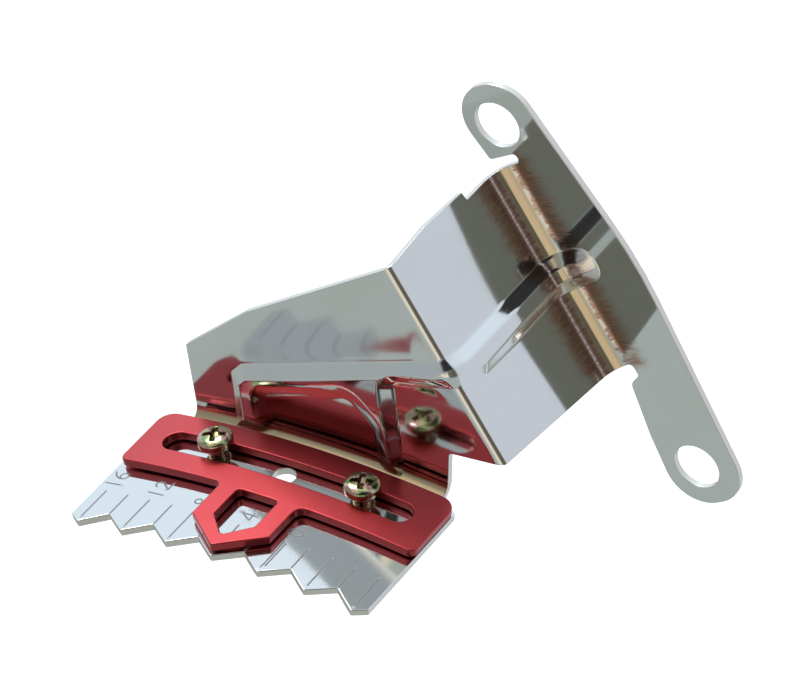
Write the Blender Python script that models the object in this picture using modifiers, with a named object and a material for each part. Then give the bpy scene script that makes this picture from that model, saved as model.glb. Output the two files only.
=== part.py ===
"""Adjustable ignition timing tab: a sheet-steel bracket with an engraved degree scale, a pointer that
slides round the scale, and two screws with nuts and lock washers that clamp it.

Frame: +Z runs away from the crankshaft, -Y towards the toothed front edge, and the origin lies midway
between the two bolt holes, on the back face of the flange. Everything is first drawn in a frame whose
origin is the crankshaft axis, level with the front face of the web; sizes below are in millimetres.
"""

import math

import bmesh
import bpy
from mathutils import Matrix, Vector, geometry

MM = 0.001
GAP = 0.3                      # clearance between touching pieces
SEED_CLEAR = 0.45              # a sheet's inner points keep this far from its edges

# Scale plate: a sector of a cylinder round the crankshaft axis.
DIAL_R = 155.5                 # radius of its outer face
SHEET = 1.1                    # steel thickness
PITCH = 7.6                    # arc between teeth, four degrees of the scale
TEETH = 7
TIP_N = 27.0                   # tooth tips, in front of the web
VALLEY_N = 24.3
PLATE_HALF = 24.8              # half width of the plate, along the arc
SHOULDER_N = 2.7               # the plate narrows to the web behind this
WEB_LEFT = -20.6
WEB_RIGHT = 21.7
HOLE_N = 8.0                   # line of the clamp holes
HOLE_R = 1.65
SPARE_HOLE_A = -0.2
SCREW_A = {"left": -11.2, "right": 12.8}

# Bends of the sheet, radii on the face that carries the scale.
PLATE_BEND_R = 1.8             # plate to web, inside radius
EDGE_BEND_R = 1.2              # web to standoff wall, outside radius
CREASE_R = 3.5                 # standoff wall to flange, inside radius
WALL_DEPTH = 27.5              # from the web's face back to the flange's face

# The edge bend runs down the web; s is measured along it and q across it.
EDGE_TOP = Vector((16.3, 35.4))
EDGE_END = Vector((31.6, 6.3))
EDGE_DIR = (EDGE_END - EDGE_TOP).normalized()
EDGE_OUT = Vector((-EDGE_DIR.y, EDGE_DIR.x))

# Flange: two round ears on one strap.
EAR_R = 6.3
EAR_CORNER_R = 5.7             # the ends of the ears are rounded with this
EAR_HOLE_R = 3.55
UPPER_EAR = Vector((-5.0, 4.0))        # hole centres as (s, q)
LOWER_EAR = Vector((52.8, 4.7))

# Pressed ribs.
RIB_HEIGHT = 1.2
RIB_WALL = 2.4
POCKET_WALL = 3.2
POCKET_DEPTH = 0.45                    # as a share of the rib's height
POCKET_LEAN = 0.045                    # the pocket's floor sinks this much for each millimetre down
POCKET_TOP = 11.5
RIB_S = (15.4, 21.7)                   # the part that runs along the standoff wall
RIB_END_Q = 7.6                        # where it stops on the flange

# Pointer.
POINTER_T = 1.3
BAR_CENTRE = 0.4
BAR_HALF = 24.4
BAR_BACK_N = 2.4
BAR_FRONT_N = 14.3
SLOT_HALF = 20.4
SLOT_WIDTH = 4.0
SLOT_N = 8.3
HEAD_HALF = 6.4
HEAD_SHOULDER_N = 21.6
HEAD_TIP_N = 26.6
WINDOW_HALF = 3.3
WINDOW_BACK_N = 14.6
WINDOW_SHOULDER_N = 20.6
WINDOW_TIP_N = 24.0

# Fasteners, size M3.
HEAD_GAP = 0.85                # the screws stand slack, this far off the pointer
SCREW_R = 1.42
SCREW_LENGTH = 8.0
HEAD_R = 2.6
HEAD_RIM = 0.9
HEAD_HEIGHT = 1.9
WASHER_R = (1.72, 2.7)
WASHER_T = 0.8
NUT_FLATS = 5.5
NUT_T = 2.4
NUT_BORE_R = 1.72


# ---------------------------------------------------------------- blank of the folded sheet

def bend_length(radius):
    return radius * math.pi / 2


WALL_START_Q = bend_length(EDGE_BEND_R) - EDGE_BEND_R
CREASE_START_Q = WALL_START_Q + WALL_DEPTH - CREASE_R - EDGE_BEND_R
FLANGE_START_Q = CREASE_START_Q + bend_length(CREASE_R)


def on_plate(arc, forward):
    """Blank position of a point of the scale plate, from its arc and its distance before the web."""
    radius = DIAL_R + 2 * PLATE_BEND_R - bend_length(PLATE_BEND_R) - forward
    angle = arc / DIAL_R
    return Vector((radius * math.sin(angle), radius * math.cos(angle) - DIAL_R))


def on_edge(along, across):
    """Blank position from the distances along and across the edge bend."""
    return EDGE_TOP + along * EDGE_DIR + across * EDGE_OUT


def on_wall(along, depth):
    return on_edge(along, WALL_START_Q + depth - EDGE_BEND_R)


def on_flange(along, out):
    return on_edge(along, FLANGE_START_Q + out - CREASE_R)


def edge_coordinates(point):
    offset = point - EDGE_TOP
    return offset.dot(EDGE_DIR), offset.dot(EDGE_OUT)


def rounded(corners, step=math.radians(15)):
    """Closed outline through (point, radius) corners, each replaced by an arc of its radius."""
    outline = []
    count = len(corners)
    for i, (corner, radius) in enumerate(corners):
        before = (corners[i - 1][0] - corner).normalized()
        after = (corners[(i + 1) % count][0] - corner).normalized()
        if radius == 0:
            outline.append(corner.copy())
            continue
        half = before.angle(after) / 2
        reach = radius / math.tan(half)
        centre = corner + (before + after).normalized() * (radius / math.sin(half))
        start = corner + before * reach - centre
        turn = start.angle_signed(corner + after * reach - centre)
        pieces = max(2, math.ceil(abs(turn) / step))
        outline += [centre + Matrix.Rotation(-turn * k / pieces, 2) @ start for k in range(pieces + 1)]
    return outline


def split_long(outline, longest):
    """The same outline with extra points on its long sides."""
    result = []
    for start, end in zip(outline, outline[1:] + outline[:1]):
        pieces = max(1, math.ceil((end - start).length / longest))
        result += [start.lerp(end, k / pieces) for k in range(pieces)]
    return result


def circle(centre, radius, points):
    turns = [2 * math.pi * k / points for k in range(points)]
    return [centre + radius * Vector((math.cos(t), math.sin(t))) for t in turns]


def spaced(start, stop, step):
    """Even values from start up to stop."""
    return [start + step * k for k in range(math.floor((stop - start) / step) + 1)]


def shared(start, stop, pieces):
    """The ends of equal pieces of a length."""
    return [start + (stop - start) * k / pieces for k in range(pieces + 1)]


def distance_inside(point, outline):
    """Distance to an outline, positive inside it."""
    nearest = math.inf
    inside = False
    for start, end in zip(outline, outline[1:] + outline[:1]):
        side = end - start
        share = min(1.0, max(0.0, (point - start).dot(side) / side.length_squared))
        nearest = min(nearest, (point - start - share * side).length)
        if (start.y > point.y) != (end.y > point.y):
            if point.x < start.x + (point.y - start.y) * side.x / side.y:
                inside = not inside
    return nearest if inside else -nearest


def smooth(value):
    value = min(1.0, max(0.0, value))
    return value * value * (3 - 2 * value)


def tooth_points():
    """Front edge of the plate from left to right: tips on the scale's lines, valleys halfway."""
    last = (TEETH - 1) / 2 * PITCH
    corner_n = TIP_N - (TIP_N - VALLEY_N) * (PLATE_HALF - last) / (PITCH / 2)
    points = [(-PLATE_HALF, corner_n)]
    for i in range(2 * TEETH - 1):
        points.append((i * PITCH / 2 - last, VALLEY_N if i % 2 else TIP_N))
    return points + [(PLATE_HALF, corner_n)]


def bracket_corners():
    """Corners of the flat blank, anticlockwise seen from the face with the scale."""
    plate = [(on_plate(arc, forward), 0) for arc, forward in tooth_points()]
    right = [(on_plate(PLATE_HALF, SHOULDER_N), 0.8), (on_plate(WEB_RIGHT, SHOULDER_N), 0.4),
             (Vector((WEB_RIGHT + 0.9, 5.7)), 0.6)]
    wall_low = [(EDGE_END.copy(), 0), (on_wall(33.0, 2), 0), (on_wall(35.0, 24.5), 0),
                (on_flange(35.0, 3.6), 0.7), (on_flange(37.2, 3.6), 0.7)]
    lower_ear = [(on_flange(37.8, 1.6), 1.5), (on_flange(46.5, -0.2), 4),
                 (on_flange(LOWER_EAR.x + EAR_R, LOWER_EAR.y - EAR_R - 0.2), EAR_CORNER_R),
                 (on_flange(LOWER_EAR.x + EAR_R, LOWER_EAR.y + EAR_R), EAR_CORNER_R)]
    strap = [(on_flange(20.0, 14.1), 60)]
    upper_ear = [(on_flange(UPPER_EAR.x - EAR_R, UPPER_EAR.y + EAR_R - 0.4), EAR_CORNER_R),
                 (on_flange(UPPER_EAR.x - EAR_R, UPPER_EAR.y - EAR_R), EAR_CORNER_R),
                 (on_flange(-0.2, -0.5), 0.6)]
    wall_top = [(on_flange(-0.2, 4.2), 0.6), (on_flange(1.2, 4.2), 0.6), (on_wall(1.2, 19.4), 0),
                (on_wall(-0.1, 19.2), 0), (on_wall(-0.5, 10), 0), (on_wall(0, 2), 0)]
    web = [(EDGE_TOP.copy(), 0), (Vector((-8.9, 20.4)), 0), (Vector((WEB_LEFT, 11.0)), 0)]
    left = [(on_plate(WEB_LEFT, SHOULDER_N), 0.4), (on_plate(-PLATE_HALF, SHOULDER_N), 0.8)]
    return plate + right + wall_low + lower_ear + strap + upper_ear + wall_top + web + left


def rib_outline():
    """The raised rib: a broad panel low on the web whose top arm runs over the edge bend."""
    low, high = RIB_S
    return rounded([(Vector((-13.4, -1.0)), 0), (Vector((14.8, -1.0)), 0), (Vector((14.9, 15.8)), 1.5),
                    (on_edge(19.8, -1.0), 3), (on_wall(high, 6), 3), (on_flange(high, RIB_END_Q), 2.8),
                    (on_flange(low, RIB_END_Q), 2.8), (on_wall(low, 4), 6), (on_edge(low - 0.8, -1.5), 3),
                    (Vector((-11.2, 10.8)), 1.6), (Vector((-13.4, 8.6)), 1.4)])


def pocket_outline():
    """The hollow inside the panel, open towards the plate."""
    return rounded([(Vector((-8.2, -1.0)), 0), (Vector((12.3, -1.0)), 0), (Vector((11.8, 6.6)), 3.5),
                    (Vector((7.9, 12.7)), 3.2), (Vector((-8.3, 7.0)), 1.6)])


RIB = rib_outline()
POCKET = pocket_outline()


def rib_lift(point):
    """How far the sheet is pressed out at a blank point."""
    raised = smooth(distance_inside(point, RIB) / RIB_WALL)
    hollow = smooth(distance_inside(point, POCKET) / POCKET_WALL + 0.5)
    across = edge_coordinates(point)[1]
    low_over_edge = 1 - 0.5 * math.exp(-(across / 1.7) ** 2)
    sunk = POCKET_LEAN * min(POCKET_TOP, max(0.0, POCKET_TOP - point.y)) * hollow
    return (RIB_HEIGHT * (1 - POCKET_DEPTH * hollow) - sunk) * raised * low_over_edge


def turn_bend(length, radius):
    """Travel along the old direction and along the new one after a length of a right-angle bend."""
    angle = min(length / radius, math.pi / 2)
    beyond = max(0.0, length - bend_length(radius))
    return radius * math.sin(angle), radius * (1 - math.cos(angle)) + beyond, angle


def fold_bracket(point):
    """Place a blank point in space, in the crankshaft's frame."""
    along, across = edge_coordinates(point)
    height = math.hypot(point.x, point.y + DIAL_R) - DIAL_R
    lift = rib_lift(point)
    if across < -EDGE_BEND_R:
        angle = math.atan2(point.x, point.y + DIAL_R)
        down, forward, turned = 0.0, 0.0, 0.0
        if height < PLATE_BEND_R:
            down, forward, turned = turn_bend(PLATE_BEND_R - height, PLATE_BEND_R)
            height = PLATE_BEND_R - down
        radius = DIAL_R + height + lift * math.sin(turned)
        return Vector((radius * math.sin(angle), -forward - lift * math.cos(turned), radius * math.cos(angle)))
    ear = along > 36.1 or (along < 0.5 and across > CREASE_START_Q - 2)
    if across > FLANGE_START_Q or ear:
        out, back = CREASE_R + across - FLANGE_START_Q, WALL_DEPTH - lift
    elif across > CREASE_START_Q:
        back, out, turned = turn_bend(across - CREASE_START_Q, CREASE_R)
        back += WALL_DEPTH - CREASE_R - lift * math.sin(turned)
        out += lift * math.cos(turned)
    else:
        out, back, turned = turn_bend(across + EDGE_BEND_R, EDGE_BEND_R)
        out += lift * math.sin(turned) - EDGE_BEND_R
        back -= lift * math.cos(turned)
    spot = EDGE_TOP + along * EDGE_DIR + out * EDGE_OUT
    return Vector((spot.x, back, spot.y + DIAL_R))


def bracket_seeds():
    """Points inside the blank: even rows on the flats, closer rows round the bends."""
    bend_rows = shared(PLATE_BEND_R - bend_length(PLATE_BEND_R), PLATE_BEND_R, 4)
    seeds = [on_plate(arc, forward) for forward in bend_rows + spaced(4.5, 22, 3.5)
             for arc in spaced(-24.7, 24.7, 1.9)]
    for x in spaced(WEB_LEFT + 1, 31, 1.75):
        for y in spaced(0, 35, 1.75):
            point = Vector((x, y))
            height = math.hypot(x, y + DIAL_R) - DIAL_R
            if height > PLATE_BEND_R + 0.8 and edge_coordinates(point)[1] < -EDGE_BEND_R - 0.8:
                seeds.append(point)
    wall_rows = shared(-EDGE_BEND_R, WALL_START_Q, 4) + shared(WALL_START_Q, CREASE_START_Q, 10)[1:]
    wall_rows += shared(CREASE_START_Q, FLANGE_START_Q, 6)[1:-1]
    seeds += [on_edge(along, across) for across in wall_rows for along in spaced(0.8, 36, 2.0)]
    flange_rows = [FLANGE_START_Q + out for out in spaced(-4.0, 11, 2.2)]
    seeds += [on_edge(along, across) for across in flange_rows for along in spaced(-10.2, 59, 2.4)
              if across >= FLANGE_START_Q or not 0 < along < 36.2]
    return seeds


def pointer_corners():
    """Outline of the pointer as (arc, forward): a bar with a five-sided head."""
    left, right = BAR_CENTRE - BAR_HALF, BAR_CENTRE + BAR_HALF
    return [((left, BAR_FRONT_N), 1.2), ((-HEAD_HALF, BAR_FRONT_N), 1.0), ((-HEAD_HALF, HEAD_SHOULDER_N), 0.5),
            ((0, HEAD_TIP_N), 0.6), ((HEAD_HALF, HEAD_SHOULDER_N), 0.5), ((HEAD_HALF, BAR_FRONT_N), 1.4),
            ((right, BAR_FRONT_N), 1.2), ((right, BAR_BACK_N), 2.4), ((left, BAR_BACK_N), 2.4)]


def window_corners():
    return [((-WINDOW_HALF, WINDOW_BACK_N), 0.6), ((-WINDOW_HALF, WINDOW_SHOULDER_N), 0.6),
            ((0, WINDOW_TIP_N), 0.6), ((WINDOW_HALF, WINDOW_SHOULDER_N), 0.6),
            ((WINDOW_HALF, WINDOW_BACK_N), 0.6)]


def slot_corners():
    left, right = BAR_CENTRE - SLOT_HALF, BAR_CENTRE + SLOT_HALF
    back, front = SLOT_N - SLOT_WIDTH / 2, SLOT_N + SLOT_WIDTH / 2
    end = SLOT_WIDTH / 2 - 0.01
    return [((left, back), end), ((left, front), end), ((right, front), end), ((right, back), end)]


def flat(corners):
    """Corners given as (arc, forward) as blank points whose up is backward."""
    return [(Vector((arc, -forward)), radius) for (arc, forward), radius in corners]


def wrap_pointer(point):
    """Place a pointer point on its cylinder, its top face outwards."""
    radius = DIAL_R + GAP + POINTER_T
    angle = point.x / DIAL_R
    return Vector((radius * math.sin(angle), point.y, radius * math.cos(angle)))


# ---------------------------------------------------------------- solids

def collection(name):
    group = bpy.data.collections.new(name)
    bpy.context.scene.collection.children.link(group)
    return group


def material(name, color, metallic, roughness):
    made = bpy.data.materials.new(name)
    made.use_nodes = True
    shader = made.node_tree.nodes["Principled BSDF"]
    shader.inputs["Base Color"].default_value = (*color, 1)
    shader.inputs["Metallic"].default_value = metallic
    shader.inputs["Roughness"].default_value = roughness
    return made


def add_object(name, mesh, group, parent, finish=None):
    obj = bpy.data.objects.new(name, mesh)
    group.objects.link(obj)
    obj.parent = parent
    if finish:
        mesh.materials.append(finish)
    return obj


def folded_sheet(name, outline, holes, seeds, place):
    """Mesh of one face of a sheet: its blank triangulated, then every point placed in space."""
    loops = [outline] + holes
    points = [point for loop in loops for point in loop]
    edges = []
    for loop in loops:
        first = len(edges)
        edges += [(first + k, first + (k + 1) % len(loop)) for k in range(len(loop))]
    for seed in seeds:
        off_holes = all(distance_inside(seed, hole) < -SEED_CLEAR for hole in holes)
        if off_holes and distance_inside(seed, outline) > SEED_CLEAR:
            points.append(seed)
    spots, _, faces, *_ = geometry.delaunay_2d_cdt(points, edges, [], 1, 1e-5)
    bm = bmesh.new()
    corners = [bm.verts.new(place(spot) * MM) for spot in spots]
    for face in faces:
        centre = sum((spots[i] for i in face), Vector((0, 0))) / len(face)
        if all(distance_inside(centre, hole) < 0 for hole in holes):
            bm.faces.new([corners[i] for i in face])
    bmesh.ops.delete(bm, geom=[v for v in bm.verts if not v.link_faces], context="VERTS")
    mesh = bpy.data.meshes.new(name)
    bm.to_mesh(mesh)
    bm.free()
    return mesh


def thicken(obj, thickness):
    solid = obj.modifiers.new("thickness", "SOLIDIFY")
    solid.thickness = thickness * MM
    solid.offset = -1
    solid.use_quality_normals = True


def make_bracket(group, axis, finish):
    outline = split_long(rounded(bracket_corners()), 2.2)
    clamp_holes = [circle(on_plate(arc, HOLE_N), HOLE_R, 20) for arc in (*SCREW_A.values(), SPARE_HOLE_A)]
    ear_holes = [circle(on_flange(*ear), EAR_HOLE_R, 28) for ear in (UPPER_EAR, LOWER_EAR)]
    mesh = folded_sheet("bracket", outline, clamp_holes + ear_holes, bracket_seeds(), fold_bracket)
    thicken(add_object("bracket", mesh, group, axis, finish), SHEET)


def make_pointer(group, axis, finish):
    outline = split_long(rounded(flat(pointer_corners())), 2.4)
    holes = [split_long(rounded(flat(corners)), 2.4) for corners in (slot_corners(), window_corners())]
    seeds = [Vector((arc, -n)) for arc in spaced(-23, 24.2, 2.4) for n in (4.4, 12.3, 17.5)]
    mesh = folded_sheet("pointer", outline, holes, seeds, wrap_pointer)
    thicken(add_object("pointer", mesh, group, axis, finish), POINTER_T)


def turned(name, profile, group, parent, steps):
    """Solid of revolution about local Z from a profile of (radius, height), top to bottom."""
    mesh = bpy.data.meshes.new(name)
    bm = bmesh.new()
    points = [bm.verts.new((radius * MM, 0, height * MM)) for radius, height in profile]
    for start, end in zip(points, points[1:]):
        bm.edges.new((start, end))
    bm.to_mesh(mesh)
    bm.free()
    obj = add_object(name, mesh, group, parent)
    screw = obj.modifiers.new("turn", "SCREW")
    screw.steps = steps
    screw.render_steps = steps
    screw.use_merge_vertices = True
    screw.merge_threshold = 1e-6
    screw.use_smooth_shade = False
    return obj


def cone_mesh(name, segments, radius, height):
    mesh = bpy.data.meshes.new(name)
    bm = bmesh.new()
    bmesh.ops.create_cone(bm, cap_ends=True, segments=segments, radius1=radius * MM, radius2=radius * MM,
                          depth=height * MM)
    bm.to_mesh(mesh)
    bm.free()
    return mesh


def box_mesh(name, size):
    mesh = bpy.data.meshes.new(name)
    bm = bmesh.new()
    bmesh.ops.create_cube(bm, size=1, matrix=Matrix.Diagonal((*(side * MM for side in size), 1)))
    bm.to_mesh(mesh)
    bm.free()
    return mesh


def cut(obj, name, mesh, cutters, parent, height, turn=0.0, out=0.0):
    """Cut a shape out of an object that stands on the same local axis."""
    cutter = add_object(name, mesh, cutters, parent)
    cutter.location = (out * MM, 0, height * MM)
    cutter.rotation_euler = (0, 0, turn)
    cutter.hide_render = True
    cutter.display_type = "WIRE"
    boolean = obj.modifiers.new(name, "BOOLEAN")
    boolean.operation = "DIFFERENCE"
    boolean.object = cutter


def clamp_axis(side, group, axis):
    """Empty at the middle of one clamp hole, its Z out from the crankshaft."""
    empty = bpy.data.objects.new("clamp_axis_" + side, None)
    group.objects.link(empty)
    angle = SCREW_A[side] / DIAL_R
    empty.parent = axis
    empty.location = Vector((DIAL_R * math.sin(angle), -HOLE_N, DIAL_R * math.cos(angle))) * MM
    empty.rotation_euler = (0, angle, 0)
    return empty


def screw_profile():
    """Pan head over a plain shank with a small end chamfer."""
    seat = GAP + POINTER_T + HEAD_GAP
    crown = [(HEAD_R * math.sin(turn), seat + HEAD_RIM + (HEAD_HEIGHT - HEAD_RIM) * math.cos(turn))
             for turn in (math.radians(a) for a in (0, 20, 40, 60, 78, 90))]
    tail = seat - SCREW_LENGTH
    return crown + [(HEAD_R - 0.1, seat), (SCREW_R, seat), (SCREW_R, tail + 0.3), (SCREW_R - 0.3, tail), (0, tail)]


def make_screw(side, group, cutters, clamp, finish):
    name = "screw_" + side
    screw = turned(name, screw_profile(), group, clamp, 24)
    screw.data.materials.append(finish)
    top = GAP + POINTER_T + HEAD_GAP + HEAD_HEIGHT
    for k in range(2):
        wing = box_mesh("recess", (3.0, 0.7, 2.0))
        cut(screw, f"recess_{side}_{k}", wing, cutters, clamp, top, math.pi / 2 * k + 0.4)


def make_washer(side, group, cutters, clamp, finish):
    top = -SHEET - GAP
    inner, outer = WASHER_R
    ring = [(inner, top), (outer, top), (outer, top - WASHER_T), (inner, top - WASHER_T), (inner, top)]
    washer = turned("lock_washer_" + side, ring, group, clamp, 32)
    washer.data.materials.append(finish)
    slit = box_mesh("slit", (2.4, 0.5, 3.0))
    cut(washer, "slit_" + side, slit, cutters, clamp, top, 0, (inner + outer) / 2)


def make_nut(side, group, cutters, clamp, finish):
    middle = -SHEET - GAP - WASHER_T - GAP - NUT_T / 2
    mesh = cone_mesh("nut_" + side, 6, NUT_FLATS / math.sqrt(3), NUT_T)
    mesh.transform(Matrix.Translation((0, 0, middle * MM)))
    nut = add_object("nut_" + side, mesh, group, clamp, finish)
    cut(nut, "nut_bore_" + side, cone_mesh("nut_bore", 24, NUT_BORE_R, 2 * NUT_T), cutters, clamp, middle)


def main():
    for obj in list(bpy.data.objects):
        bpy.data.objects.remove(obj, do_unlink=True)
    group = collection("timing_tab")
    cutters = collection("cutters")

    axis = bpy.data.objects.new("crankshaft_axis", None)
    group.objects.link(axis)
    middle = EDGE_TOP + (UPPER_EAR.x + LOWER_EAR.x) / 2 * EDGE_DIR + (UPPER_EAR.y + LOWER_EAR.y) / 2 * EDGE_OUT
    axis.location = Vector((-middle.x, -WALL_DEPTH - SHEET, -middle.y - DIAL_R)) * MM

    chrome = material("chrome", (0.80, 0.82, 0.84), 1.0, 0.08)
    red = material("red_anodised", (0.55, 0.03, 0.05), 0.9, 0.3)
    zinc = material("yellow_zinc", (0.62, 0.55, 0.33), 1.0, 0.3)
    make_bracket(group, axis, chrome)
    make_pointer(group, axis, red)
    for side in SCREW_A:
        clamp = clamp_axis(side, group, axis)
        make_screw(side, group, cutters, clamp, zinc)
        make_washer(side, group, cutters, clamp, zinc)
        make_nut(side, group, cutters, clamp, zinc)


main()
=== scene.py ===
"""Looks of the adjustable ignition timing tab: a bright-plated sheet bracket with an engraved degree
scale, a red anodised pointer that slides round the scale, and zinc-plated screws, nuts and lock washers.

Shapes are drawn in millimetres in the crankshaft's frame: x across, y back from the web's front face,
z out from the crankshaft's axis. A sheet piece is a surface over its flat blank, as a folder would lay it
out, and each fastener is a surface over the angle round its own axis and the steps of a profile.
"""

import itertools
import math

import bpy
import numpy as np
from mathutils import Matrix, Vector, geometry


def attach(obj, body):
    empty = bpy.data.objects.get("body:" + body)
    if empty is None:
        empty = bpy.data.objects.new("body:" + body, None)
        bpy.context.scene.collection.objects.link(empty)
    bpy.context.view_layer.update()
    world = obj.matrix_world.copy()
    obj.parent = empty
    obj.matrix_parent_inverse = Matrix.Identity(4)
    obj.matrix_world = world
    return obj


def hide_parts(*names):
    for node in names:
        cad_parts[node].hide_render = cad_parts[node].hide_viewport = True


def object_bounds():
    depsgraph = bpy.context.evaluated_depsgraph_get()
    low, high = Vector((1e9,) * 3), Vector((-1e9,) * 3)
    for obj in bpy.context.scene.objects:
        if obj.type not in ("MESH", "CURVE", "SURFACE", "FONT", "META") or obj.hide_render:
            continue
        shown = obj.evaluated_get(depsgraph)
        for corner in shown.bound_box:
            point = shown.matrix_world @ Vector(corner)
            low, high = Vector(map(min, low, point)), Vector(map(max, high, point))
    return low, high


bl_info = {
    "name": "Timing Tab",
    "version": (1, 0, 0),
    "blender": (4, 5, 0),
    "location": "3D View > Sidebar > Timing Tab",
    "description": "Builds the visible pieces of an adjustable ignition timing tab",
    "category": "Object",
}

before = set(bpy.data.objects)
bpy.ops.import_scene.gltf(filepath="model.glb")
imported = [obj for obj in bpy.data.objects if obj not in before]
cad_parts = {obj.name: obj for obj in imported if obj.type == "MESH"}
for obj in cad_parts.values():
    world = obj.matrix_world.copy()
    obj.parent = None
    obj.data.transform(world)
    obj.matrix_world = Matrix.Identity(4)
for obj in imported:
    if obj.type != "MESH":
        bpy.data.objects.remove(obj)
CAD_BOX = [list(corner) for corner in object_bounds()]
MM = 0.001

# Scale plate and teeth.
DIAL_R = 155.5
SHEET = 1.1
PITCH = 7.6
TEETH = 7
TIP_N = 27.0
VALLEY_N = 24.3
PLATE_HALF = 24.8
SHOULDER_N = 2.7
WEB_LEFT = -20.6
WEB_RIGHT = 21.7
HOLE_N = 8.0
HOLE_R = 1.65
SPARE_HOLE_A = -0.2
SCREW_A = {"left": -11.2, "right": 12.8}

# Bends.
PLATE_BEND_R = 1.8
EDGE_BEND_R = 1.2
CREASE_R = 3.5
WALL_DEPTH = 27.5
EDGE_TOP = np.array((16.3, 35.4))
EDGE_END = np.array((31.6, 6.3))
EDGE_DIR = (EDGE_END - EDGE_TOP) / np.linalg.norm(EDGE_END - EDGE_TOP)
EDGE_OUT = np.array((-EDGE_DIR[1], EDGE_DIR[0]))

# Flange ears, as distances along and out from the edge bend.
EAR_R = 6.3
EAR_CORNER_R = 5.7
EAR_HOLE_R = 3.55
UPPER_EAR = (-5.0, 4.0)
LOWER_EAR = (52.8, 4.7)

# Pressed rib.
RIB_WALL = 2.4
POCKET_WALL = 3.2
POCKET_DEPTH = 0.45
POCKET_LEAN = 0.045            # the pocket's floor sinks this much for each millimetre down
POCKET_TOP = 11.5
SKIRT_HEIGHT = 0.17            # the sheet's gentle rise towards the foot of the rib
SKIRT_WIDTH = 1.6
RIB_S = (15.4, 21.7)
RIB_END_Q = 7.6

# Engraved scale.
NUMBER_SIZE = 1.22             # of the numbers, against the two millimetres their strokes are drawn to
NUMBER_STEP = 2.0              # from one digit to the next
STROKE_REACH = 1.9             # half widths from a stroke's middle line to where it has no effect
LABELS = (("16", -22.8, 17.0), ("12", -15.2, 17.2), ("8", -7.6, 17.6), ("4", 0.2, 17.6), ("0", 8.0, 17.7))

# Pointer.
GAP = 0.3
POINTER_T = 1.3
BAR_CENTRE = 0.4
BAR_HALF = 24.4
BAR_BACK_N = 2.4
BAR_FRONT_N = 14.3
SLOT_HALF = 20.4
SLOT_WIDTH = 4.0
SLOT_N = 8.3
HEAD_HALF = 6.4
HEAD_SHOULDER_N = 21.6
HEAD_TIP_N = 26.6
WINDOW_HALF = 3.3
WINDOW_BACK_N = 14.6
WINDOW_SHOULDER_N = 20.6
WINDOW_TIP_N = 24.0

# Fasteners.
HEAD_GAP = 0.85
SEAT = GAP + POINTER_T + HEAD_GAP
SCREW_R = 1.42
SHANK_R = 1.34
CORE_R = 1.16
THREAD = 0.5
SCREW_LENGTH = 8.0
HEAD_R = 2.6
HEAD_RIM = 0.9
HEAD_HEIGHT = 1.9
RECESS_TURN = 0.4
WASHER_TOP = -SHEET - GAP
WASHER_T = 0.8
NUT_TOP = WASHER_TOP - WASHER_T - GAP
NUT_T = 2.4
NUT_FLATS = 5.5
THREAD_GAP = 0.14
ROUND_STEPS = 144              # angle steps of a screw or nut

STEP = 0.02                    # half step of the differences that give a surface's normals

# Stage, in metres in the part's frame.
FLOOR_HALF = 6.0
KEY_PLACE = Vector((-0.45, 0.25, 0.8))
KEY_SIZE = 0.5
CAMERA_PLACE = (0.3083, -0.4659, 0.4121)
CAMERA_RIGHT = Vector((0.8433, 0.5276, -0.1025))
CAMERA_UP = Vector((-0.25, 0.5538, 0.7942))


# ---------------------------------------------------------------- settings

class TimingTabSizes(bpy.types.PropertyGroup):
    """Sizes that can be changed without leaving the part's outline."""
    rib_height: bpy.props.FloatProperty(
        name="Rib height", description="How far the rib is pressed out of the sheet", default=1.2 * MM,
        unit="LENGTH")
    sheet_edge: bpy.props.FloatProperty(
        name="Bracket edge", description="Rounding of the bracket's cut edges", default=0.13 * MM,
        unit="LENGTH")
    pointer_edge: bpy.props.FloatProperty(
        name="Pointer edge", description="Rounding of the pointer's edges", default=0.22 * MM, unit="LENGTH")
    engraving_depth: bpy.props.FloatProperty(
        name="Engraving depth", description="Depth of the lines and numbers", default=0.03 * MM,
        unit="LENGTH")
    engraving_width: bpy.props.FloatProperty(
        name="Engraving width", description="Width of the lines and numbers", default=0.25 * MM,
        unit="LENGTH")


class TimingTabFinishes(bpy.types.PropertyGroup):
    """Colours and gloss of the three finishes."""
    plating: bpy.props.FloatVectorProperty(
        name="Plating", description="Reflected colour of the bright plating", default=(0.87, 0.88, 0.87),
        subtype="COLOR", min=0, max=1)
    plating_roughness: bpy.props.FloatProperty(
        name="Plating roughness", description="Blur of the plating's reflections", default=0.06,
        subtype="FACTOR", min=0, max=1)
    red: bpy.props.FloatVectorProperty(
        name="Red", description="Dye colour of the anodised pointer", default=(0.50, 0.034, 0.041),
        subtype="COLOR", min=0, max=1)
    red_roughness: bpy.props.FloatProperty(
        name="Red roughness", description="Blur of the pointer's satin face", default=0.34,
        subtype="FACTOR", min=0, max=1)
    zinc: bpy.props.FloatVectorProperty(
        name="Yellow zinc", description="Main colour of the passivated fasteners",
        default=(0.54, 0.49, 0.27), subtype="COLOR", min=0, max=1)


class TimingTabStage(bpy.types.PropertyGroup):
    """Floor, light and camera."""
    floor_drop: bpy.props.FloatProperty(
        name="Floor drop", description="Height of the part over the floor", default=60 * MM, unit="LENGTH")
    lens: bpy.props.FloatProperty(
        name="Lens", description="Focal length in millimetres", default=224.5)
    key_power: bpy.props.FloatProperty(
        name="Key light", description="Power of the large soft light, in watts", default=4.0)


def sizes():
    return bpy.context.scene.timing_tab_sizes


def finishes():
    return bpy.context.scene.timing_tab_finishes


# ---------------------------------------------------------------- flat outlines

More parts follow.
